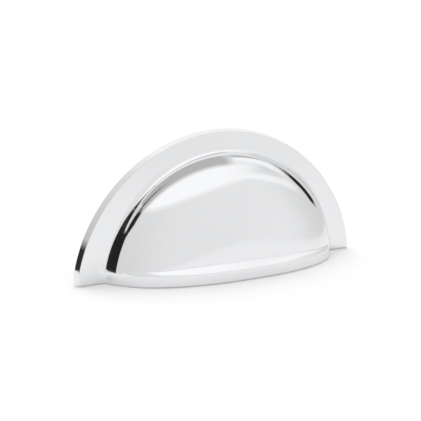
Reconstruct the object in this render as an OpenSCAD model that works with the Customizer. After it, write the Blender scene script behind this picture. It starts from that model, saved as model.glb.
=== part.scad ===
// Cup pull: a one-piece cast handle for a drawer front, with a flat arched flange, a hollow cup
// that bulges out of it and a thickened lip along the open lower rim.
// Millimetres. X runs across, -Y is the front, Z is up. The origin is on the mounting face,
// midway between the two screw holes.

/* [Flange] */
// width across the two feet
overall_w = 103; // [100:0.5:106]
// height from the lower rim to the top of the arch
overall_h = 45.5; // [44.5:0.25:47]
// thickness of the flange
flange_t = 2.6; // [2.2:0.1:3]
// rounding of the flange's front edge
flange_edge_r = 1.1; // [0.6:0.1:1.6]

/* [Cup] */
// radius at which the cup's curve would meet the mounting face
cup_r = 42.2; // [41.5:0.1:43]
// how far the cup's axis lies above the axis of the arch
cup_rise = 2.5; // [1.5:0.1:3.2]
// depth of the cup on its own axis, from the mounting face
cup_d = 18.2; // [17.4:0.1:18.8]
// how full the cup's section is: two is an ellipse
cup_fullness = 2.8; // [2.4:0.1:3.2]
// wall of the cup
cup_wall_t = 2; // [1.6:0.1:2.4]
// fillet between the cup and the flange
cup_fillet_r = 3.3; // [2.6:0.1:3.8]

/* [Lip] */
// depth of the lip at the middle of the lower rim
lip_d = 20; // [19.4:0.1:20.8]
// half width at which the lip's curve would meet the mounting face
lip_half_w = 41.6; // [41.2:0.1:42.2]
// how square the lip's curve is: two is an ellipse
lip_fullness = 2.4; // [2.2:0.05:2.6]
// how late the slope of the lip fades towards its ends
lip_taper = 12; // [8:1:16]
// fillet between the ends of the lip and the flange
lip_fillet_r = 2.4; // [1.8:0.1:3]
// height of the upright band, below which the feet are upright too
lip_band_h = 3.6; // [3:0.1:4.2]
// height of the slope that leads back from the band to the cup
lip_flare_h = 2.55; // [2.1:0.15:3]
// rounding of the lower edge
lip_edge_r = 0.6; // [0.3:0.1:0.8]

/* [Fixing] */
// distance between the two screw holes
screw_spacing = 64; // [60:1:65]
// height of the screw holes above the lower rim
screw_z = 11; // [10:0.5:13]
// diameter of the screw bosses
boss_d = 8; // [7:0.5:8.5]
// bore for an M4 thread
screw_bore_d = 3.3; // [2.8:0.1:3.5]
// depth of the full bore
screw_bore_depth = 7; // [5:0.5:7.5]

/* [Hidden] */
$fn = 96;
chrome = [0.82, 0.83, 0.84];
overrun = 1;
flare_least = 0.02;
drill_half_angle = 59;
// steps along the cup, along a rounding, up the slope of the lip and round the arch
cup_steps = 14;
round_steps = 4;
flare_steps = 4;
arch_steps = 52;
search_steps = 30;
// the arch is one arc over the upright feet, through the top
arch_h = overall_h - lip_band_h;
arc_r = (pow(overall_w / 2, 2) + pow(arch_h, 2)) / (2 * arch_h);
arc_z = overall_h - arc_r;
cup_z = arc_z + cup_rise;
// the top of the lip, where the spokes of the mesh meet on the middle line
lip_top = lip_band_h + lip_flare_h;

// A bulge is a half width, a depth and a fullness: the cup, its hollow, the middle of its wall, the lip
cup = [cup_r, cup_d, cup_fullness];
hollow = [cup_r - cup_wall_t, cup_d - cup_wall_t, cup_fullness];
mid_wall = (cup + hollow) / 2;
lip = [lip_half_w, lip_d, lip_fullness];
function depth_at(b, r) = b[1] * sqrt(max(0, 1 - pow(r / b[0], b[2])));
function normal_at(b, r) =
    let (n = [pow(b[1], 2) * b[2] * pow(r / b[0], b[2]) / (2 * r), depth_at(b, r)])
    n / norm(n);

// Distance from the middle at which a ball of the fillet's radius rests on a bulge and the flange
function seat_at(b, fillet_r, low, high, left) =
    let (r = (low + high) / 2)
    let (gap = depth_at(b, r) + fillet_r * (normal_at(b, r)[1] - 1) - flange_t)
    left == 0 ? r
        : gap > 0 ? seat_at(b, fillet_r, r, high, left - 1)
        : seat_at(b, fillet_r, low, r, left - 1);
cup_seat = seat_at(cup, cup_fillet_r, 0, cup_r, search_steps);
cup_seat_n = normal_at(cup, cup_seat);
cup_fillet_c = [cup_seat, depth_at(cup, cup_seat)] + cup_fillet_r * cup_seat_n;
cup_fillet_from = atan2(-cup_seat_n[1], -cup_seat_n[0]) + 360;
lip_seat = seat_at(lip, lip_fillet_r, 0, lip_half_w, search_steps);
lip_end = lip_seat + lip_fillet_r * normal_at(lip, lip_seat)[0];

// Rails of the mesh: a radius, a depth from the mounting face and the axis that they run about
function arc_rails(axis, c, r, from, to, first) =
    [for (i = [first : round_steps])
        let (a = from + (to - from) * i / round_steps)
        [c[0] + r * cos(a), c[1] + r * sin(a), axis]];
function bulge_rails(b, r, steps) =
    let (from = asin((lip_top - cup_z) / b[0]))
    let (to = asin(r / b[0]))
    [for (i = [1 : steps])
        [b[0] * sin(from + (to - from) * i / steps), 0, cup_z]];
rim_c = [arc_r - flange_edge_r, flange_t - flange_edge_r];
front_rails = concat(
    bulge_rails(cup, cup_seat, cup_steps),
    arc_rails(cup_z, cup_fillet_c, cup_fillet_r, cup_fillet_from, 270, 1),
    arc_rails(arc_z, rim_c, flange_edge_r, 90, 0, 0),
    [[arc_r, 0, arc_z]]);
rails = len(front_rails);
hollow_rails = bulge_rails(hollow, hollow[0], rails - 1);

// The lip's plan runs out in a fillet on the flange; the slope gives its height back to the cup
function lip_plan(x) =
    x >= lip_end ? 0
        : x < lip_seat ? depth_at(lip, x)
        : flange_t + lip_fillet_r - sqrt(pow(lip_fillet_r, 2) - pow(lip_end - x, 2));
function flare_at(x) = lip_flare_h * max(flare_least, 1 - pow(x / lip_half_w, lip_taper));
function lip_share(x, z) = min(1, max(0, 1 - (z - lip_band_h) / flare_at(x)));
function with_lip(depth, x, z) = depth + max(0, lip_plan(abs(x)) - depth) * lip_share(abs(x), z);
function edge_cut(z) =
    z >= lip_edge_r ? 0 : lip_edge_r - sqrt(pow(lip_edge_r, 2) - pow(lip_edge_r - z, 2));

// Levels up the lip, and the spokes: right levels, a fan over the arch, left levels
levels = concat(
    [for (i = [0 : round_steps]) lip_edge_r * (1 - cos(90 * i / round_steps))],
    [for (i = [0 : flare_steps - 1]) lip_band_h + lip_flare_h * i / flare_steps]);
level_n = len(levels);
centres = concat(levels, [lip_top]);
spokes = concat(
    [for (z = levels) [z, 0]],
    [for (i = [0 : arch_steps]) [lip_top, 180 * i / arch_steps]],
    [for (i = [level_n - 1 : -1 : 0]) [levels[i], 180]]);
spoke_n = len(spokes);

// Length of a spoke from the middle line to a circle; below the band's top all is upright
function span(z, a, r, axis) =
    let (rise = max(z, lip_band_h) - axis)
    sqrt(pow(r, 2) - pow(rise * cos(a), 2)) - rise * sin(a);
// The same inside the cup, where the levels share the rails' spacing at the top of the lip
function inner_span(z, a, r, edge) =
    span(lip_top, a, r, cup_z) * span(z, a, edge, cup_z) / span(lip_top, a, edge, cup_z);

function bulge_at(b, x, z) = depth_at(b, norm([x, max(z, lip_band_h) - cup_z]));
function cup_surface(x, z) = with_lip(bulge_at(cup, x, z), x, z) - edge_cut(z);

function front_point(s, j) =
    let (in_cup = j < cup_steps)
    let (rail = front_rails[j])
    let (t = in_cup ? inner_span(s[0], s[1], rail[0], cup_seat) : span(s[0], s[1], rail[0], rail[2]))
    let (x = t * cos(s[1]))
    let (z = s[0] + t * sin(s[1]))
    let (fixed = with_lip(rail[1], x, z) - edge_cut(z) * min(1, rail[1] / flange_t))
    [x, -(in_cup ? cup_surface(x, z) : fixed), z];
function hollow_point(s, j) =
    let (last = j == rails - 2)
    let (t = inner_span(s[0], s[1], hollow_rails[j][0], hollow[0]))
    let (x = t * cos(s[1]))
    let (z = s[0] + t * sin(s[1]))
    [x, last ? 0 : -bulge_at(hollow, x, z), z];

points = concat(
    [for (s = spokes, j = [0 : rails - 1]) front_point(s, j)],
    [for (z = centres) [0, -cup_surface(0, z), z]],
    [for (s = spokes, j = [0 : rails - 2]) hollow_point(s, j)],
    [for (z = centres) [0, -bulge_at(hollow, 0, z), z]]);

// Numbers of the points, counted out from the middle line; the outer edge is shared by both skins
front_mid = spoke_n * rails;
hollow_first = front_mid + level_n + 1;
hollow_mid = hollow_first + spoke_n * (rails - 1);
function centre_of(s) = s < level_n ? s : s < spoke_n - level_n ? level_n : spoke_n - 1 - s;
function front_id(s, j) = j == 0 ? front_mid + centre_of(s) : s * rails + j - 1;
function hollow_id(s, j) =
    j == 0 ? hollow_mid + centre_of(s)
        : j == rails ? front_id(s, j)
        : hollow_first + s * (rails - 1) + j - 1;
function halves(q) = [[q[0], q[1], q[2]], [q[0], q[2], q[3]]];

skin_quads = concat(
    [for (s = [0 : spoke_n - 2], j = [0 : rails - 1])
        [front_id(s, j), front_id(s + 1, j), front_id(s + 1, j + 1), front_id(s, j + 1)]],
    [for (s = [0 : spoke_n - 2], j = [0 : rails - 1])
        [hollow_id(s, j), hollow_id(s, j + 1), hollow_id(s + 1, j + 1), hollow_id(s + 1, j)]],
    [for (j = [0 : rails - 1])
        [front_id(0, j), front_id(0, j + 1), hollow_id(0, j + 1), hollow_id(0, j)]],
    [for (s = [spoke_n - 1], j = [0 : rails - 1])
        [hollow_id(s, j), hollow_id(s, j + 1), front_id(s, j + 1), front_id(s, j)]]);
faces =
    [for (q = skin_quads, f = halves(q))
        if (f[0] != f[1] && f[1] != f[2] && f[2] != f[0]) f];

// The shell of the casting: front, hollow, flange back and lower rim
module shell() {
    polyhedron(points = points, faces = faces, convexity = 4);
}

// Both screw axes, with their own Z running forward from the mounting face
module at_screws() {
    for (side = [-1, 1])
        translate([side * screw_spacing / 2, 0, screw_z])
            rotate([90, 0, 0])
                rotate([0, 0, atan2(screw_z - cup_z, side * screw_spacing / 2)])
                    children();
}

// A boss ends on a plane that lies along the middle of the cup's wall
module screw_boss() {
    r = norm([screw_spacing / 2, screw_z - cup_z]);
    n = normal_at(mid_wall, r);
    block = 4 * boss_d;
    intersection() {
        cylinder(h = cup_d, r = boss_d / 2);
        translate([0, 0, depth_at(mid_wall, r)])
            rotate([0, atan2(n[0], n[1]), 0])
                translate([-block / 2, -block / 2, -block])
                    cube(block);
    }
}

module screw_bore() {
    bore_r = screw_bore_d / 2;
    translate([0, 0, -overrun])
        cylinder(h = screw_bore_depth + overrun, r = bore_r);
    translate([0, 0, screw_bore_depth])
        cylinder(h = bore_r / tan(drill_half_angle), r1 = bore_r, r2 = 0);
}

module cup_pull() {
    color(chrome)
        translate([0, 0, -screw_z])
            difference() {
                union() {
                    shell();
                    at_screws() screw_boss();
                }
                at_screws() screw_bore();
            }
}

cup_pull();
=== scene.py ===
import bpy
import bmesh
import math
from functools import partial
from mathutils import Matrix, Vector


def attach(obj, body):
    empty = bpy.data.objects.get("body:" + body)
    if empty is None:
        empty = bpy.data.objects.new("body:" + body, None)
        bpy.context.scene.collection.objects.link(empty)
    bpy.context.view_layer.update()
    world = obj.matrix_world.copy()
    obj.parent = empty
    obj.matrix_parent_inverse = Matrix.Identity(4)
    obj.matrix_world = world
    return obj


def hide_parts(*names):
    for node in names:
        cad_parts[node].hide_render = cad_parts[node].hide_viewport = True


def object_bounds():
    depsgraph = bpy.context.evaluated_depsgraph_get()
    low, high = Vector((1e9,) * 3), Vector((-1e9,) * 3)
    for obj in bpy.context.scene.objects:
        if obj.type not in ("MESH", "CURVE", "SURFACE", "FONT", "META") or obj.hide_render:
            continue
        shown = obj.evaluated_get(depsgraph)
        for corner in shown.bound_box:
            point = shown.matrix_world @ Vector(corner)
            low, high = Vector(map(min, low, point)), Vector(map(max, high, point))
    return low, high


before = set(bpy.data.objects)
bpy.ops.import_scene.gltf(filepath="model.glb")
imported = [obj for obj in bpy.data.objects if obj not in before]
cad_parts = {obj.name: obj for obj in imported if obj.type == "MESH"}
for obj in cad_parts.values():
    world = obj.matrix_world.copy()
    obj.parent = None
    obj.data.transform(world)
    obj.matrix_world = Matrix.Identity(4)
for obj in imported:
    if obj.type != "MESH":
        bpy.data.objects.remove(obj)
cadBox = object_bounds()
scene = bpy.context.scene
scene.view_settings.view_transform = "Standard"
mm = 0.001
print("frame loaded:", list(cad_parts))


# small helpers for objects and node trees

def addObject(name, data):
    made = bpy.data.objects.new(name, data)
    scene.collection.objects.link(made)
    return made


def fill(tree, node, values):
    for key, value in values.items():
        if hasattr(value, "is_output"):
            tree.links.new(value, node.inputs[key])
        else:
            node.inputs[key].default_value = value
    return node


def addNode(tree, kind, values):
    return fill(tree, tree.nodes.new(kind), values)


def calc(tree, operation, *values):
    node = tree.nodes.new("ShaderNodeMath")
    node.operation = operation
    return fill(tree, node, dict(enumerate(values))).outputs[0]


def newTree(name, result, inputs):
    tree = bpy.data.node_groups.new(name, "GeometryNodeTree")
    for kind, labels in inputs.items():
        for label in labels:
            tree.interface.new_socket(name=label, in_out="INPUT", socket_type="NodeSocket" + kind)
    tree.interface.new_socket(name=result, in_out="OUTPUT", socket_type="NodeSocketGeometry")
    return tree, tree.nodes.new("NodeGroupInput").outputs


def endTree(tree, geometry, material):
    dressed = addNode(tree, "GeometryNodeSetMaterial", {"Geometry": geometry, "Material": material})
    tree.links.new(dressed.outputs[0], tree.nodes.new("NodeGroupOutput").inputs[0])
    return tree


def splitPosition(tree):
    place = tree.nodes.new("GeometryNodeInputPosition").outputs[0]
    return addNode(tree, "ShaderNodeSeparateXYZ", {0: place}).outputs


def namedLayer(tree, name, kind):
    node = tree.nodes.new("GeometryNodeInputNamedAttribute")
    node.data_type = kind
    return fill(tree, node, {"Name": name}).outputs["Attribute"]


def inMetres(lengths):
    return {label: length * mm for label, length in lengths.items()}


def runTree(name, mesh, tree, values):
    source = addObject(name + "Source", mesh)
    modifier = source.modifiers.new("shape", "NODES")
    modifier.node_group = tree
    sockets = {s.name: s.identifier for s in tree.interface.items_tree if s.in_out == "INPUT"}
    for label, value in values.items():
        modifier[sockets[label]] = value
    evaluated = source.evaluated_get(bpy.context.evaluated_depsgraph_get())
    result = bpy.data.meshes.new_from_object(evaluated)
    result.name = name
    source.modifiers.remove(modifier)
    bpy.data.objects.remove(source)
    return result


def addPiece(name, mesh, smoothAngle):
    bm = bmesh.new()
    bm.from_mesh(mesh)
    bmesh.ops.recalc_face_normals(bm, faces=bm.faces)
    bm.to_mesh(mesh)
    bm.free()
    mesh.polygons.foreach_set("use_smooth", [True] * len(mesh.polygons))
    mesh.set_sharp_from_angle(angle=math.radians(smoothAngle))
    return addObject(name, mesh)


# chrome plate: a mirror with the faint waves and haze of a polished casting

chromeLook = {
    "tint": (0.835, 0.84, 0.85), "tintHazy": (0.80, 0.805, 0.815),
    "roughness": 0.035, "roughnessHazy": 0.075,
    "hazeScale": 420.0, "hazeDetail": 4.0, "hazeGrain": 0.6, "hazeRange": (0.35, 0.75),
    "waveScale": 60.0, "waveDetail": 1.0,       # scales are per metre
    "waveHeight": 0.00002,                      # metres
}


def makeChrome(look):
    material = bpy.data.materials.new("chromePlate")
    material.use_nodes = True
    tree = material.node_tree
    shader = tree.nodes["Principled BSDF"]
    place = tree.nodes.new("ShaderNodeTexCoord").outputs["Object"]
    haze = addNode(tree, "ShaderNodeTexNoise", {
        "Vector": place, "Scale": look["hazeScale"], "Detail": look["hazeDetail"],
        "Roughness": look["hazeGrain"]}).outputs["Fac"]
    tint = tree.nodes.new("ShaderNodeMix")
    tint.data_type = "RGBA"
    tree.links.new(haze, tint.inputs["Factor"])
    tint.inputs["A"].default_value = (*look["tint"], 1)
    tint.inputs["B"].default_value = (*look["tintHazy"], 1)
    gloss = addNode(tree, "ShaderNodeMapRange", {
        "Value": haze, "From Min": look["hazeRange"][0], "From Max": look["hazeRange"][1],
        "To Min": look["roughness"], "To Max": look["roughnessHazy"]})
    wave = addNode(tree, "ShaderNodeTexNoise", {
        "Vector": place, "Scale": look["waveScale"], "Detail": look["waveDetail"]})
    bump = addNode(tree, "ShaderNodeBump", {
        "Height": wave.outputs["Fac"], "Distance": look["waveHeight"], "Strength": 1.0})
    fill(tree, shader, {"Base Color": tint.outputs["Result"], "Metallic": 1.0,
                        "Roughness": gloss.outputs["Result"], "Normal": bump.outputs["Normal"]})
    return material


chrome = makeChrome(chromeLook)
print("chrome made")


# the casting: one section lofted round the arch, with the lip's own curve along the rim

casting = {                                     # mm, degrees and shares
    "width": 103.0, "height": 45.5, "screwHeight": 11.0,
    "flangeThick": 2.6, "flangeBevel": 1.0, "flangeEdge": 0.3, "backEdge": 0.25,
    "cupRadius": 43.6, "cupRise": 2.5, "cupDepth": 18.2, "cupFullness": 3.0, "cupRoundness": 1.7,
    "hollowRadius": 40.2, "hollowDepth": 16.2,
    "footEnds": (31.8, 32.3, 0.5),              # lean where it leaves the cup, lean at its end, fillet
    "footTop": (24.0, 33.0, 2.8),               # the same over the top of the arch
    "footEase": 0.5, "footGrows": (0.05, 0.8),  # from one to the other between these sines of the turn
    "lipDepth": 20.0, "lipHalfWidth": 41.6, "lipFullness": 2.4, "lipTaper": 2.7, "lipFillet": 4.5,
    "flareHeight": 2.2, "flareLeast": 0.6,
    "bandHeight": 3.6, "bandBlend": 0.1, "bandEnd": 1.2, "rimEdge": 0.6,
    "cupRails": 64, "cupBend": 1.3, "footRails": 12, "filletRails": 14, "flatRails": 24, "edgeRails": 10,
    "backRails": 6, "backFlatRails": 4, "hollowRails": 40,
    "flatStart": [0.01, 0.03], "flatEnd": [0.97, 0.99], "bevelShares": (0.04, 0.3, 0.5, 0.7, 0.96),
    "levels": 41, "fan": 220, "weld": 0.002, "smoothAngle": 40.0,
}
halvings, probe, tiny, innermost = 60, 0.0005, 1e-6, 0.01


def sizesOf(c):
    s = dict(c)
    archHeight = c["height"] - c["bandHeight"]
    s["archRadius"] = (c["width"] ** 2 / 4 + archHeight ** 2) / (2 * archHeight)
    s["archCentre"] = c["height"] - s["archRadius"]
    s["cupCentre"] = s["archCentre"] + c["cupRise"]
    s["lipTop"] = c["bandHeight"] + c["flareHeight"]
    s["hub"] = s["lipTop"] - s["cupCentre"]
    return s


def bulge(x, halfWidth, depth, fullness, roundness=2.0):
    return depth * max(0.0, 1 - (x / halfWidth) ** fullness) ** (1 / roundness)


def halve(low, high, isLow):        # narrows down the place up to which isLow holds
    for _ in range(halvings):
        x = (low + high) / 2
        if isLow(x):
            low = x
        else:
            high = x
    return x


def ballSeat(halfWidth, depth, fullness, radius, floor):
    def touch(x):
        y = bulge(x, halfWidth, depth, fullness)
        slope = depth ** 2 * fullness * (x / halfWidth) ** fullness / (2 * x * max(y, tiny))
        return x, y, Vector((slope, 1)).normalized()

    def standsHigh(x):
        _, y, normal = touch(x)
        return y + radius * (normal.y - 1) > floor

    x, y, normal = touch(halve(0.0, halfWidth, standsHigh))     # a ball on both the bulge and the flange
    return Vector((x, y)), normal


def draftSeat(s, draft):
    least = 1 / math.tan(math.radians(draft))

    def around(x):                  # the cup's depth just inside and just outside a radius
        return [bulge(x + dx, s["cupRadius"], s["cupDepth"], s["cupFullness"], s["cupRoundness"])
                for dx in (-probe, probe)]

    def isFlatter(x):
        near, far = around(x)
        return (near - far) / (2 * probe) < least

    x = halve(innermost, s["cupRadius"], isFlatter)                  # where the bulge is as steep as the foot
    return Vector((x, sum(around(x)) / 2))


def sectionRails(s, foot):
    rails = []                      # axis, radius, depth, edge radius, half width, half depth, lip, cut
    cupAxis, archAxis, thick = s["cupCentre"], s["archCentre"], s["flangeThick"]

    def cupRail(radius, edge, halfWidth, halfDepth, lip, cut):
        rails.append((cupAxis, radius, 0.0, edge, halfWidth, halfDepth, lip, cut))

    def fixedRail(axis, radius, depth, lip=0.0):
        rails.append((axis, radius, depth, radius, 0.0, 0.0, lip, min(1.0, depth / thick)))

    def arc(axis, centre, radius, start, end, steps, first, lip=0.0):
        for i in range(first, steps + 1):
            a = start + (end - start) * i / steps
            fixedRail(axis, centre[0] + radius * math.cos(a), centre[1] + radius * math.sin(a), lip)

    def flat(axes, radii, depth, steps, lip=0.0):
        for share in s["flatStart"] + [i / steps for i in range(1, steps)] + s["flatEnd"]:
            fixedRail(axes[0] + (axes[1] - axes[0]) * share, radii[0] + (radii[1] - radii[0]) * share,
                      depth, lip)

    def spread(radius, steps, bend):
        reach = math.sqrt(radius ** 2 - s["hub"] ** 2)
        for i in range(steps + 1):
            x = reach * math.sin(bend * i / steps) / math.sin(bend)
            yield math.sqrt(s["hub"] ** 2 + x ** 2)

    draft, cove, fillet = foot
    seat = draftSeat(s, draft)
    for radius in spread(seat.x, s["cupRails"], s["cupBend"]):
        cupRail(radius, seat.x, s["cupRadius"], s["cupDepth"], 1.0, 1.0)
    lean = math.radians(cove)                                   # the foot of the cup is nearly straight
    tall = seat.y - thick - fillet * (1 - math.sin(lean))
    steps, out = s["footRails"], seat.x
    for i in range(1, steps + 1):
        eased = ((i - 0.5) / steps) ** s["footEase"]            # taken at the middle of each step
        out += tall / steps * math.tan(math.radians(draft + (cove - draft) * eased))
        fixedRail(cupAxis, out, seat.y - tall * i / steps, 1.0)
    centre = Vector((out + fillet * math.cos(lean), thick + fillet))
    arc(cupAxis, centre, fillet, math.pi + lean, 1.5 * math.pi, s["filletRails"], 1, 1.0)
    edge, back, far = s["flangeEdge"], s["backEdge"], s["archRadius"] - s["backEdge"]
    tilt = math.atan2(s["flangeBevel"], thick)                  # the flange's edge is bevelled
    drop = thick - edge
    near = far + (back - edge - (drop - back) * math.sin(tilt)) / math.cos(tilt)
    flat((cupAxis, archAxis), (centre.x, near), thick, s["flatRails"], 1.0)
    arc(archAxis, (near, drop), edge, math.pi / 2, tilt, s["edgeRails"], 0)
    for share in s["bevelShares"]:
        edgeHere = edge + (back - edge) * share
        fixedRail(archAxis, near + (far - near) * share + edgeHere * math.cos(tilt),
                  drop + (back - drop) * share + edgeHere * math.sin(tilt))
    arc(archAxis, (far, back), back, tilt, -math.pi / 2, s["backRails"], 0)
    flat((archAxis, cupAxis), (far, s["hollowRadius"]), 0.0, s["backFlatRails"])
    for radius in reversed(list(spread(s["hollowRadius"], s["hollowRails"], math.pi / 2))):
        cupRail(radius, s["hollowRadius"], s["hollowRadius"], s["hollowDepth"], 0.0, -1.0)
    return rails


railNames = ["axis", "radius", "depth", "edgeRadius", "halfWidth", "halfDepth", "lipShare", "cutShare"]
topNames = ["radiusTop", "depthTop", "edgeRadiusTop"]           # the same rails over the top of the arch


def sectionMesh(rails):
    mesh = bpy.data.meshes.new("castingSection")
    points = [(r[1] * mm, -r[2] * mm, 0) for r in rails]
    mesh.from_pydata(points, [(i, i + 1) for i in range(len(points) - 1)], [])
    for column, name in enumerate(railNames + topNames):
        scale = 1 if name.endswith("Share") else mm
        layer = mesh.attributes.new(name, "FLOAT", "POINT")
        layer.data.foreach_set("value", [r[column] * scale for r in rails])
    return mesh


def loftTree():
    tree, given = newTree("castingLoft", "Casting", {
        "Geometry": ["Section"], "Int": ["Rails", "Levels", "Fan"], "Material": ["Material"],
        "Float": ["Cup fullness", "Cup roundness", "Foot grows from", "Foot grows to", "Flange thick",
                  "Lip top", "Lip depth", "Lip half width", "Lip fullness", "Lip taper", "Lip fillet",
                  "Lip seat", "Lip end", "Flare height", "Flare least", "Band height", "Band blend",
                  "Band end", "Rim edge", "Weld"]})
    do = partial(calc, tree)

    spokesLess = do("ADD", do("MULTIPLY", given["Levels"], 2.0), given["Fan"])      # one less than there are
    grid = addNode(tree, "GeometryNodeMeshGrid", {
        "Size X": 1.0, "Size Y": 1.0, "Vertices X": given["Rails"],
        "Vertices Y": do("ADD", spokesLess, 1.0)})
    flatPlace = splitPosition(tree)
    rail = do("ROUND", do("MULTIPLY", do("ADD", flatPlace["X"], 0.5), do("SUBTRACT", given["Rails"], 1.0)))
    spoke = do("ROUND", do("MULTIPLY", do("ADD", flatPlace["Y"], 0.5), spokesLess))

    def sample(name):               # a value of the section at this rail
        node = tree.nodes.new("GeometryNodeSampleIndex")
        node.data_type = "FLOAT"
        return fill(tree, node, {"Geometry": given["Section"], "Value": namedLayer(tree, name, "FLOAT"),
                                 "Index": rail}).outputs["Value"]

    at = {name: sample(name) for name in railNames}

    def stage(first, count):        # 0 to 1 over these spokes
        share = do("DIVIDE", do("SUBTRACT", spoke, first), count)
        return addNode(tree, "ShaderNodeClamp", {"Value": share}).outputs[0]

    fanEnd = do("ADD", given["Levels"], given["Fan"])
    climb = do("SUBTRACT", stage(0.0, given["Levels"]), stage(fanEnd, given["Levels"]))
    level = do("MULTIPLY", given["Lip top"], climb)
    turn = do("MULTIPLY", math.pi, stage(given["Levels"], given["Fan"]))
    cosTurn, sinTurn = do("COSINE", turn), do("SINE", turn)
    grown = tree.nodes.new("ShaderNodeMapRange")
    grown.interpolation_type = "SMOOTHSTEP"
    fill(tree, grown, {"Value": sinTurn, "From Min": given["Foot grows from"],
                       "From Max": given["Foot grows to"]})
    for name in topNames:           # the foot and its fillet change towards the top of the arch
        low = at[name.removesuffix("Top")]
        more = do("MULTIPLY", grown.outputs[0], do("SUBTRACT", sample(name), low))
        at[name.removesuffix("Top")] = do("ADD", low, more)

    def span(height, radius):       # along a spoke to a circle about the rail's axis
        rise = do("SUBTRACT", height, at["axis"])
        across = do("MULTIPLY", rise, cosTurn)
        left = do("SUBTRACT", do("MULTIPLY", radius, radius), do("MULTIPLY", across, across))
        return do("SUBTRACT", do("SQRT", do("MAXIMUM", left, 0.0)), do("MULTIPLY", rise, sinTurn))

    planLevel = do("MAXIMUM", level, given["Band height"])      # below it all is upright
    reach = do("DIVIDE", do("MULTIPLY", span(given["Lip top"], at["radius"]),
                            span(planLevel, at["edgeRadius"])),
               span(given["Lip top"], at["edgeRadius"]))
    offHub = do("MULTIPLY", do("GREATER_THAN", rail, 0.5),
                do("LESS_THAN", rail, do("SUBTRACT", given["Rails"], 1.5)))
    reach = do("MULTIPLY", reach, offHub)                       # the first and last rail are the hub itself
    x = do("MULTIPLY", reach, cosTurn)
    z = do("ADD", level, do("MULTIPLY", reach, sinTurn))
    rise = do("SUBTRACT", do("MAXIMUM", z, given["Band height"]), at["axis"])
    squared = do("ADD", do("MULTIPLY", x, x), do("MULTIPLY", rise, rise))
    domed = do("GREATER_THAN", at["halfWidth"], 0.0)
    safeWidth = do("MAXIMUM", at["halfWidth"], mm)              # never 0, to divide by
    outward = do("POWER", do("DIVIDE", do("SQRT", squared), safeWidth), given["Cup fullness"])
    inward = do("MAXIMUM", do("SUBTRACT", 1.0, outward), 0.0)
    dome = do("MULTIPLY", at["halfDepth"], do("POWER", inward, do("DIVIDE", 1.0, given["Cup roundness"])))

    side = do("ABSOLUTE", x)
    across = do("DIVIDE", side, given["Lip half width"])
    lipLeft = do("SUBTRACT", 1.0, do("POWER", across, given["Lip fullness"]))
    lipCurve = do("MULTIPLY", given["Lip depth"], do("SQRT", do("MAXIMUM", lipLeft, 0.0)))

    def roundOff(radius, past):     # height of a circle at this distance from its middle
        left = do("SUBTRACT", do("MULTIPLY", radius, radius), do("MULTIPLY", past, past))
        return do("SQRT", do("MAXIMUM", left, 0.0))

    toEnd = do("MAXIMUM", do("SUBTRACT", given["Lip end"], side), 0.0)
    runOut = do("SUBTRACT", do("ADD", given["Flange thick"], given["Lip fillet"]),
                roundOff(given["Lip fillet"], toEnd))
    onLip = do("LESS_THAN", side, given["Lip seat"])
    lipCurve = do("ADD", do("MULTIPLY", onLip, lipCurve),
                  do("MULTIPLY", do("SUBTRACT", 1.0, onLip), runOut))
    flareLeft = do("SUBTRACT", 1.0, do("POWER", across, given["Lip taper"]))
    flare = do("MULTIPLY", given["Flare height"], do("MAXIMUM", flareLeft, given["Flare least"]))
    fade = do("SUBTRACT", 1.0, do("DIVIDE", do("SUBTRACT", z, given["Band height"]), flare))
    band = do("SMOOTH_MAX", do("SMOOTH_MIN", fade, 1.0, given["Band blend"]), 0.0, given["Band blend"])
    band = do("MULTIPLY", band, do("LESS_THAN", z, do("MULTIPLY", given["Lip top"], given["Band end"])))

    low = do("MAXIMUM", do("SUBTRACT", given["Rim edge"], z), 0.0)
    cut = do("SUBTRACT", given["Rim edge"], roundOff(given["Rim edge"], low))
    depth = do("ADD", do("MULTIPLY", domed, dome),
               do("MULTIPLY", do("SUBTRACT", 1.0, domed), at["depth"]))
    stand = do("MAXIMUM", do("SUBTRACT", lipCurve, depth), 0.0)
    depth = do("ADD", depth, do("MULTIPLY", do("MULTIPLY", stand, band), at["lipShare"]))
    depth = do("SUBTRACT", depth, do("MULTIPLY", cut, at["cutShare"]))

    place = addNode(tree, "ShaderNodeCombineXYZ", {"X": x, "Y": do("MULTIPLY", depth, -1.0), "Z": z})
    moved = addNode(tree, "GeometryNodeSetPosition", {
        "Geometry": grid.outputs["Mesh"], "Position": place.outputs[0]})

    def weld(geometry):
        return addNode(tree, "GeometryNodeMergeByDistance", {
            "Geometry": geometry, "Distance": given["Weld"]}).outputs[0]

    welded = weld(moved.outputs[0])
    isRim = tree.nodes.new("FunctionNodeCompare")               # edges with a face on one side only
    isRim.data_type = "INT"
    isRim.operation = "EQUAL"
    tree.links.new(tree.nodes.new("GeometryNodeInputMeshEdgeNeighbors").outputs[0], isRim.inputs["A"])
    isRim.inputs["B"].default_value = 1
    rim = addNode(tree, "GeometryNodeMeshToCurve", {"Mesh": welded, "Selection": isRim.outputs[0]})
    sole = addNode(tree, "GeometryNodeFillCurve", {"Curve": rim.outputs[0]})
    joined = tree.nodes.new("GeometryNodeJoinGeometry")
    tree.links.new(welded, joined.inputs[0])
    tree.links.new(sole.outputs[0], joined.inputs[0])
    closed = weld(joined.outputs[0])
    real = addNode(tree, "GeometryNodeRealizeInstances", {"Geometry": closed})
    return endTree(tree, real.outputs[0], given["Material"])


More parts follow.
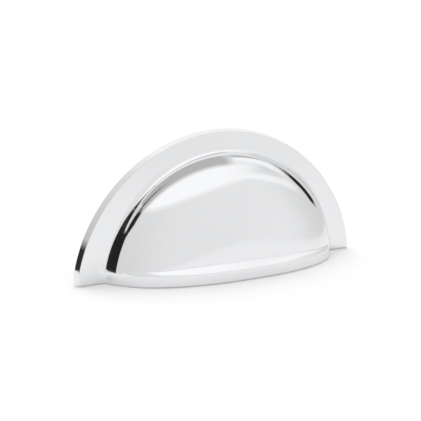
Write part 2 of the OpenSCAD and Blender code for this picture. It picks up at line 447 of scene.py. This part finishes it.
sizes = sizesOf(casting)
rails = [ends + top[1:4] for ends, top in zip(
    sectionRails(sizes, casting["footEnds"]), sectionRails(sizes, casting["footTop"]))]
lipSeat, lipNormal = ballSeat(casting["lipHalfWidth"], casting["lipDepth"], casting["lipFullness"],
                              casting["lipFillet"], casting["flangeThick"])
loftLengths = {
    "Lip top": sizes["lipTop"], "Lip depth": casting["lipDepth"], "Lip half width": casting["lipHalfWidth"],
    "Lip seat": lipSeat.x, "Lip end": lipSeat.x + casting["lipFillet"] * lipNormal.x,
    "Lip fillet": casting["lipFillet"], "Flange thick": casting["flangeThick"],
    "Band height": casting["bandHeight"], "Flare height": casting["flareHeight"],
    "Rim edge": casting["rimEdge"], "Weld": casting["weld"]}
castingMesh = runTree("cupPullCasting", sectionMesh(rails), loftTree(), {
    "Rails": len(rails), "Levels": casting["levels"], "Fan": casting["fan"], "Material": chrome,
    "Foot grows from": casting["footGrows"][0], "Foot grows to": casting["footGrows"][1],
    "Cup fullness": casting["cupFullness"], "Cup roundness": casting["cupRoundness"],
    "Lip fullness": casting["lipFullness"], "Lip taper": casting["lipTaper"],
    "Flare least": casting["flareLeast"], "Band blend": casting["bandBlend"], "Band end": casting["bandEnd"],
    **inMetres(loftLengths)})
castingMesh.transform(Matrix.Translation((0, 0, -casting["screwHeight"] * mm)))
castingPiece = addPiece("cupPullCasting", castingMesh, casting["smoothAngle"])
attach(castingPiece, "root")
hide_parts("cup_pull")
print("casting made:", len(castingMesh.polygons), "faces")


# screw bosses inside the cup: one turned and threaded boss on each screw centre

bosses = {                                      # mm and degrees
    "spacing": 64.0, "radius": 4.0, "edge": 0.2, "boreDepth": 7.0, "drillTip": 1.0, "tipRadius": 0.02,
    "threadMinor": 1.65, "threadMajor": 2.0, "pitch": 0.7, "mouth": 0.35,
    "sides": 72, "turnSteps": 6, "smoothAngle": 30.0,
}


def bossMesh(b):
    bm = bmesh.new()
    sides = b["sides"]
    rows = int(b["boreDepth"] / b["pitch"] * b["turnSteps"])

    def ring(depth, radiusAt):
        verts = []
        for k in range(sides):
            angle, radius = 2 * math.pi * k / sides, radiusAt(k / sides)
            verts.append(bm.verts.new((radius * mm * math.cos(angle), -depth * mm,
                                       radius * mm * math.sin(angle))))
        return verts

    def plainRing(radius, depth):
        return ring(depth, lambda share: radius)

    def threadRing(depth):          # the bore's wall, a sawtooth that climbs one pitch a turn
        def radiusAt(share):
            phase = (depth / b["pitch"] - share) % 1
            tooth = 1 - abs(2 * phase - 1)
            radius = b["threadMinor"] + (b["threadMajor"] - b["threadMinor"]) * tooth
            return max(radius, b["threadMajor"] + b["mouth"] - depth)       # countersunk mouth

        return ring(depth, radiusAt)

    rings = [plainRing(b["radius"], b["boreDepth"]), plainRing(b["radius"], b["edge"]),
             plainRing(b["radius"] - b["edge"], 0.0)]
    rings += [threadRing(b["boreDepth"] * i / rows) for i in range(rows + 1)]
    rings.append(plainRing(b["tipRadius"], b["boreDepth"] + b["drillTip"]))
    for first, second in zip(rings, rings[1:]):
        for k in range(sides):
            after = (k + 1) % sides
            bm.faces.new((first[k], first[after], second[after], second[k]))
    bm.faces.new(rings[0])
    bm.faces.new(rings[-1])
    mesh = bpy.data.meshes.new("screwBoss")
    bm.to_mesh(mesh)
    bm.free()
    mesh.attributes.new("front", "BOOLEAN", "POINT").data.foreach_set(
        "value", [i < sides for i in range(len(mesh.vertices))])
    return mesh


def pairTree():
    tree, given = newTree("bossPair", "Bosses", {
        "Geometry": ["Boss"], "Material": ["Material"],
        "Float": ["Spacing", "Cup axis", "Cup radius", "Cup depth", "Hollow radius", "Hollow depth",
                  "Cup fullness", "Cup roundness"]})
    do = partial(calc, tree)

    start = addNode(tree, "ShaderNodeCombineXYZ", {"X": do("MULTIPLY", given["Spacing"], -0.5)})
    step = addNode(tree, "ShaderNodeCombineXYZ", {"X": given["Spacing"]})
    line = addNode(tree, "GeometryNodeMeshLine", {
        "Count": 2, "Start Location": start.outputs[0], "Offset": step.outputs[0]})
    placed = addNode(tree, "GeometryNodeInstanceOnPoints", {
        "Points": line.outputs[0], "Instance": given["Boss"]})
    real = addNode(tree, "GeometryNodeRealizeInstances", {"Geometry": placed.outputs[0]})

    here = splitPosition(tree)
    rise = do("SUBTRACT", here["Z"], given["Cup axis"])
    reach = do("SQRT", do("ADD", do("MULTIPLY", here["X"], here["X"]), do("MULTIPLY", rise, rise)))

    def domeAt(name):               # depth of the cup's skin here, or of its hollow
        outward = do("POWER", do("DIVIDE", reach, given[name + " radius"]), given["Cup fullness"])
        inward = do("MAXIMUM", do("SUBTRACT", 1.0, outward), 0.0)
        return do("MULTIPLY", given[name + " depth"],
                  do("POWER", inward, do("DIVIDE", 1.0, given["Cup roundness"])))

    middle = do("MULTIPLY", do("ADD", domeAt("Cup"), domeAt("Hollow")), -0.5)
    place = addNode(tree, "ShaderNodeCombineXYZ", {"X": here["X"], "Y": middle, "Z": here["Z"]})
    ended = addNode(tree, "GeometryNodeSetPosition", {          # the bosses end inside the cup's wall
        "Geometry": real.outputs[0], "Selection": namedLayer(tree, "front", "BOOLEAN"),
        "Position": place.outputs[0]})
    return endTree(tree, ended.outputs[0], given["Material"])


bossLengths = {
    "Spacing": bosses["spacing"], "Cup axis": sizes["cupCentre"] - casting["screwHeight"],
    "Cup radius": casting["cupRadius"], "Cup depth": casting["cupDepth"],
    "Hollow radius": casting["hollowRadius"], "Hollow depth": casting["hollowDepth"]}
bossPairMesh = runTree("screwBosses", bossMesh(bosses), pairTree(), {
    "Material": chrome, "Cup fullness": casting["cupFullness"], "Cup roundness": casting["cupRoundness"],
    **inMetres(bossLengths)})
bossPiece = addPiece("screwBosses", bossPairMesh, bosses["smoothAngle"])
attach(bossPiece, "root")
print("screw bosses made:", len(bossPiece.data.polygons), "faces")


# camera at the photograph's angle: degrees and mm from the middle of the feet, nearest point in metres

view = {"turn": 28.11, "drop": 11.19, "distance": 228.8, "right": 4.21, "up": -17.99, "lens": 58.1,
        "nearest": 0.01}


def addCamera(v):
    turn, drop = math.radians(v["turn"]), math.radians(v["drop"])
    ahead = Vector((math.sin(turn) * math.cos(drop), math.cos(turn) * math.cos(drop), -math.sin(drop)))
    right = Vector((math.cos(turn), -math.sin(turn), 0))
    up = right.cross(ahead)
    feet = Vector((0, 0, -casting["screwHeight"]))
    place = feet - ahead * v["distance"] - right * v["right"] - up * v["up"]
    data = bpy.data.cameras.new("camera")
    data.lens = v["lens"]
    data.clip_start = v["nearest"]
    camera = addObject("camera", data)
    camera.matrix_world = Matrix((
        (right.x, up.x, -ahead.x, place.x * mm), (right.y, up.y, -ahead.y, place.y * mm),
        (right.z, up.z, -ahead.z, place.z * mm), (0, 0, 0, 1)))
    scene.camera = camera


addCamera(view)
print("camera made")


# floor, world and the panels of a light tent, which only the chrome sees; its slits show as dark lines

studio = {"floorSize": 6.0, "floorColor": 0.96, "floorGlow": 0.04, "world": 1.0, "worldDiffuse": 0.75,
          "keyStrength": 0.9, "keyTurn": -10, "keyRise": 70, "keySpread": 40,
          "wallSteps": (120, 50), "sweepSteps": (120, 50), "sweepCrowding": 3, "ceilingSteps": (60, 60)}

# upright panels on a round wall: turn to the left, lowest and highest angle, brightness low and high
# fade: shares at the left end, right end, lower edge and upper edge; sizes in mm
wall = {
    "frontPanel": {
        "radius": 2500, "fade": (0, 0, 0, 0.13),
        "posts": [(98, -2, 44, 0.79, 0.80), (84, -2, 44, 0.795, 0.83), (75, -2, 50, 0.80, 0.865),
                  (60, -2, 50, 0.805, 0.875), (45, -2, 50, 0.84, 0.885), (30, -2, 50, 0.88, 0.905),
                  (10, -2, 50, 0.915, 0.92), (-20, -2, 49, 0.925, 0.94), (-45, -2, 48, 0.97, 0.93),
                  (-58, -2, 49, 0.93, 0.94), (-68, -2, 50, 0.87, 0.92), (-76, -2, 50, 0.835, 0.88),
                  (-90, -2, 49, 0.79, 0.83), (-110, -2, 46, 0.745, 0.80), (-118, -2, 30, 0.70, 0.75)]},
    "leftSlit": {
        "radius": 2400, "fade": (0.05, 0.05, 0, 0.12),
        "posts": [(100, -2, 30, 0.018, 0.018), (86.2, -2, 30, 0.018, 0.018)]},
    "leftNotch": {
        "radius": 2390, "fade": (0.06, 0.12, 0.08, 0.2),
        "posts": [(93.8, 22, 48, 0.018, 0.018), (89, 22, 48, 0.018, 0.018), (86.5, 24, 48, 0.018, 0.02),
                  (83.5, 30, 46, 0.02, 0.04), (80.5, 35, 45, 0.03, 0.06)]},
    "leftLow": {
        "radius": 2420, "fade": (0.03, 0.02, 0, 0.3),
        "posts": [(168, -2, 13, 0.03, 0.03), (120, -2, 16, 0.03, 0.03), (97, -2, 16, 0.03, 0.03)]},
    "leftBack": {
        "radius": 2600, "fade": (0.05, 0.02, 0, 0.1),
        "posts": [(200, -1, 66, 0.90, 0.95), (165, -1, 60, 0.55, 0.90), (110, -1, 55, 0.55, 0.88),
                  (93, -1, 55, 0.60, 0.88)]},
    "rightSlit": {
        "radius": 2400, "fade": (0.05, 0.08, 0.1, 0.35),
        "posts": [(-100.8, 9, 25, 0.02, 0.02), (-105, 5, 30, 0.02, 0.02), (-108, 3.5, 32, 0.02, 0.02),
                  (-115, 3, 36, 0.02, 0.02), (-126, 3, 36, 0.02, 0.02)]},
    "rightPanel": {
        "radius": 2450, "fade": (0.25, 0.08, 0.38, 0.1),
        "posts": [(-92, 20, 60, 1.08, 1.08), (-102, 20, 62, 1.10, 1.10), (-110, 20, 62, 1.05, 1.05)]},
    "rightStrip": {
        "radius": 2440, "fade": (0.1, 0.15, 0.35, 0.35),
        "posts": [(-38, 46, 56, 1.10, 1.10), (-52, 42, 56, 1.10, 1.10), (-60, 36, 53, 1.09, 1.09),
                  (-68, 30, 47, 1.08, 1.08), (-76, 25, 42, 1.06, 1.06), (-84, 19, 35, 1.02, 1.02),
                  (-98, 13, 27, 0.97, 0.97)]},
    "rightBack": {
        "radius": 2550, "fade": (0.03, 0.1, 0, 0.1),
        "posts": [(-109.5, -1, 62, 0.56, 0.57), (-127, -1, 62, 0.58, 0.57)]},
    "backPanel": {
        "radius": 2590, "fade": (0.03, 0.1, 0, 0.05),
        "posts": [(-125, -1, 66, 1.0, 1.08), (-205, -1, 66, 1.0, 1.10)]},
}

# the floor's far part, out to the wall: turn to the left and brightness
sweep = {
    "farFloor": {
        "lift": 0.3, "near": 60, "far": 2550, "fade": (0, 0, 0.1, 0),
        "posts": [(98, 0.80), (75, 0.805), (60, 0.81), (45, 0.85), (30, 0.885), (10, 0.915), (-20, 0.93),
                  (-45, 0.965), (-58, 0.93), (-68, 0.875), (-76, 0.84), (-90, 0.80), (-118, 0.74)]},
}

# level panels overhead: place to the right, front and back edge, as shares of the height, and brightness
ceiling = {
    "softbox": {
        "height": 2900, "fade": (0, 0, 0, 0.11),
        "posts": [(-1.4, -1.5, -0.10, 1.14), (0, -1.5, -0.10, 1.145), (0.35, -1.5, -0.08, 1.14),
                  (0.6, -1.5, -0.06, 1.10), (0.8, -1.5, -0.04, 1.04), (1.3, -1.5, 0, 0.98)]},
    "slitOver": {
        "height": 2850, "fade": (0, 0.3, 0.05, 0.05),
        "posts": [(-1.0, 0, 0.065, 0.018), (-0.8, 0, 0.055, 0.018), (-0.5, 0, 0.035, 0.018),
                  (-0.3, 0, 0.02, 0.018)]},
    "dullCeiling": {
        "height": 2960, "fade": (0, 0.07, 0, 0),
        "posts": [(-1.6, -0.3, 0.5, 0.50), (-0.6, -0.3, 0.5, 0.54), (0.58, -0.3, 0.5, 0.56)]},
}


def cardMaterial():
    material = bpy.data.materials.new("tentPanel")
    material.use_nodes = True
    tree = material.node_tree
    tree.nodes.remove(tree.nodes["Principled BSDF"])

    def layer(name):
        node = tree.nodes.new("ShaderNodeAttribute")
        node.attribute_name = name
        return node.outputs["Fac"]

    glow = addNode(tree, "ShaderNodeEmission", {"Strength": layer("tone")})
    clear = tree.nodes.new("ShaderNodeBsdfTransparent")
    mix = addNode(tree, "ShaderNodeMixShader", {
        0: layer("cover"), 1: clear.outputs[0], 2: glow.outputs[0]})
    tree.links.new(mix.outputs[0], tree.nodes["Material Output"].inputs["Surface"])
    return material


def ramp(share, low, high):         # 0 at both ends, 1 between the fades
    rise = 1.0 if low <= 0 else min(1.0, share / low)
    fall = 1.0 if high <= 0 else min(1.0, (1 - share) / high)
    return min(rise, fall)


def coverAt(fade, u, v):
    return ramp(u, fade[0], fade[1]) * ramp(v, fade[2], fade[3])


slack = 1e-9                        # for rounding


def between(posts, u):              # the values of a row of posts at a share of its length
    at = posts[0][0] + (posts[-1][0] - posts[0][0]) * u
    for first, second in zip(posts, posts[1:]):
        share = (at - first[0]) / (second[0] - first[0])
        if share <= 1 + slack:      # the two posts it lies between
            break
    return at, [a + (b - a) * share for a, b in zip(first[1:], second[1:])]


def onCircle(turn, radius, z):
    angle = math.radians(turn)
    return -radius * math.sin(angle), -radius * math.cos(angle), z


def addCard(name, steps, pointAt):
    mesh = bpy.data.meshes.new(name)
    across, up = steps
    points, tones, covers = [], [], []
    for i in range(across + 1):
        for j in range(up + 1):
            place, tone, cover = pointAt(i / across, j / up)
            points.append(place)
            tones.append(tone)
            covers.append(cover)
    row = up + 1
    faces = [(i * row + j, (i + 1) * row + j, (i + 1) * row + j + 1, i * row + j + 1)
             for i in range(across) for j in range(up)]
    mesh.from_pydata(points, [], faces)
    for label, values in (("tone", tones), ("cover", covers)):
        mesh.attributes.new(label, "FLOAT", "POINT").data.foreach_set("value", values)
    mesh.materials.append(tentMaterial)
    card = addObject(name, mesh)
    card.visible_camera = False
    card.visible_diffuse = False
    card.visible_shadow = False


def addUpright(name, c):
    def pointAt(u, v):
        turn, (low, high, toneLow, toneHigh) = between(c["posts"], u)
        radius = c["radius"] * mm
        z = radius * math.tan(math.radians(low + (high - low) * v))
        return onCircle(turn, radius, z), toneLow + (toneHigh - toneLow) * v, coverAt(c["fade"], u, v)

    addCard(name, studio["wallSteps"], pointAt)


def addGround(name, c):
    def pointAt(u, v):
        turn, (tone,) = between(c["posts"], u)
        share = v ** studio["sweepCrowding"]                    # closer rows near the part
        reach = (c["near"] + (c["far"] - c["near"]) * share) * mm
        return onCircle(turn, reach, cadBox[0][2] + c["lift"] * mm), tone, coverAt(c["fade"], u, share)

    addCard(name, studio["sweepSteps"], pointAt)


def addLevel(name, c):
    def pointAt(u, v):
        x, (front, back, tone) = between(c["posts"], u)
        height = c["height"] * mm
        return (x * height, (front + (back - front) * v) * height, height), tone, coverAt(c["fade"], u, v)

    addCard(name, studio["ceilingSteps"], pointAt)


def seenIn(tree):                   # 1 for what the camera sees, itself or in a mirror
    path = tree.nodes.new("ShaderNodeLightPath").outputs
    return calc(tree, "MAXIMUM", path["Is Camera Ray"],
                calc(tree, "MAXIMUM", path["Is Glossy Ray"], path["Is Transmission Ray"]))


def addFloor(s):
    mesh = bpy.data.meshes.new("floor")
    half = s["floorSize"] / 2
    z = cadBox[0][2]
    mesh.from_pydata([(-half, -half, z), (half, -half, z), (half, half, z), (-half, half, z)], [],
                     [(0, 1, 2, 3)])
    floor = addObject("floor", mesh)
    material = bpy.data.materials.new("paleFloor")
    material.use_nodes = True
    tree = material.node_tree
    glow = calc(tree, "MULTIPLY", seenIn(tree), s["floorGlow"])
    fill(tree, tree.nodes["Principled BSDF"], {
        "Base Color": (s["floorColor"],) * 3 + (1,), "Roughness": 1.0, "Specular IOR Level": 0.0,
        "Emission Color": (1, 1, 1, 1), "Emission Strength": glow})
    mesh.materials.append(material)


def addWorld(s):
    world = bpy.data.worlds.new("studio")
    world.use_nodes = True
    scene.world = world
    tree = world.node_tree
    seen = seenIn(tree)
    strength = calc(tree, "ADD", calc(tree, "MULTIPLY", seen, s["world"]),
                    calc(tree, "MULTIPLY", calc(tree, "SUBTRACT", 1.0, seen), s["worldDiffuse"]))
    fill(tree, tree.nodes["Background"], {"Color": (1, 1, 1, 1), "Strength": strength})


def addKey(s):                      # a broad soft light from behind, for the shadow on the floor
    data = bpy.data.lights.new("key", "SUN")
    data.energy = s["keyStrength"]
    data.angle = math.radians(s["keySpread"])
    turn, rise = math.radians(s["keyTurn"]), math.radians(s["keyRise"])
    toLight = Vector((-math.sin(turn) * math.cos(rise), math.cos(turn) * math.cos(rise), math.sin(rise)))
    key = addObject("key", data)
    key.rotation_euler = toLight.to_track_quat("Z", "Y").to_euler()
    key.visible_glossy = False


addFloor(studio)
addKey(studio)
addWorld(studio)
tentMaterial = cardMaterial()
for name, card in wall.items():
    addUpright(name, card)
for name, card in sweep.items():
    addGround(name, card)
for name, card in ceiling.items():
    addLevel(name, card)
print("studio made")
